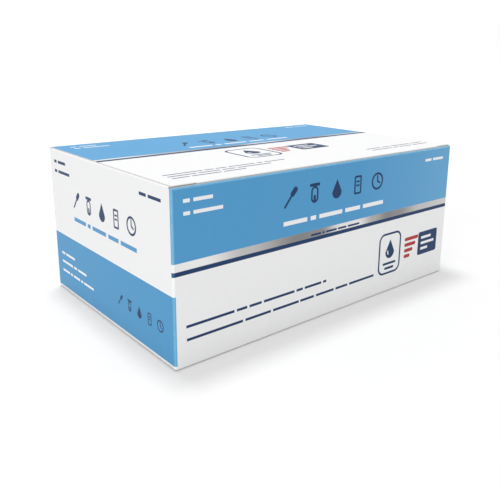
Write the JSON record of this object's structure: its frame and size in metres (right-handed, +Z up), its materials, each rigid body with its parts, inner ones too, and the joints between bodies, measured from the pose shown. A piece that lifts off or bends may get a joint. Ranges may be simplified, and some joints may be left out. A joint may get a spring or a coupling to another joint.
{
  "type": "rapid test kit carton",
  "caption": "Flat oblong tuck-top paperboard carton whose printed lid swings open at the back, packed with pouched test strips, swab packs, a tube box and dropper bottles",
  "frame": {"origin": "middle of the underside, on the surface that the carton stands on", "axes": "+X along the long front panel, +Y from the front panel to the back panel, +Z up"},
  "size_m": [0.21, 0.135, 0.087],
  "materials": {
    "printed_board": "printed, satin",
    "peel_paper": "matte",
    "pouch_foil": "satin",
    "plain_board": "matte",
    "white_foam": "matte",
    "card_stock": "satin",
    "thin_paper": "matte",
    "natural_plastic": "satin",
    "bottle_plastic": "satin",
    "cap_red": "satin",
    "cap_yellow": "satin",
    "cap_blue": "satin",
    "cap_green": "satin"
  },
  "bodies": {
    "carton": {"bottle_block": "white_foam", "carton": "printed_board", "control_a_cap": "cap_blue", "control_a_vial": "bottle_plastic", "control_b_cap": "cap_green", "control_b_vial": "bottle_plastic", "instruction_leaflet": "thin_paper", "procedure_card": "card_stock", "reagent_a_bottle": "bottle_plastic", "reagent_a_cap": "cap_red", "reagent_a_tip": "natural_plastic", "reagent_b_bottle": "bottle_plastic", "reagent_b_cap": "cap_yellow", "reagent_b_tip": "natural_plastic", "swab_strip_1": "peel_paper", "swab_strip_2": "peel_paper", "swab_strip_3": "peel_paper", "swab_strip_4": "peel_paper", "swab_strip_5": "peel_paper", "test_pouch_01": "pouch_foil", "test_pouch_02": "pouch_foil", "test_pouch_03": "pouch_foil", "test_pouch_04": "pouch_foil", "test_pouch_05": "pouch_foil", "test_pouch_06": "pouch_foil", "test_pouch_07": "pouch_foil", "test_pouch_08": "pouch_foil", "test_pouch_09": "pouch_foil", "test_pouch_10": "pouch_foil", "test_pouch_11": "pouch_foil", "test_pouch_12": "pouch_foil", "test_pouch_13": "pouch_foil", "test_pouch_14": "pouch_foil", "test_pouch_15": "pouch_foil", "test_pouch_16": "pouch_foil", "test_pouch_17": "pouch_foil", "test_pouch_18": "pouch_foil", "test_pouch_19": "pouch_foil", "test_pouch_20": "pouch_foil", "test_pouch_21": "pouch_foil", "test_pouch_22": "pouch_foil", "test_pouch_23": "pouch_foil", "test_pouch_24": "pouch_foil", "test_pouch_25": "pouch_foil", "tube_box": "plain_board"},
    "lid": {"lid": "printed_board"}
  },
  "joints": [
    {"name": "lid_hinge", "type": "hinge", "parent": "carton", "child": "lid", "pos_m": [0, 0.06725, 0.08675], "axis": [-1, 0, 0], "range_deg": [0, 180]}
  ]
}
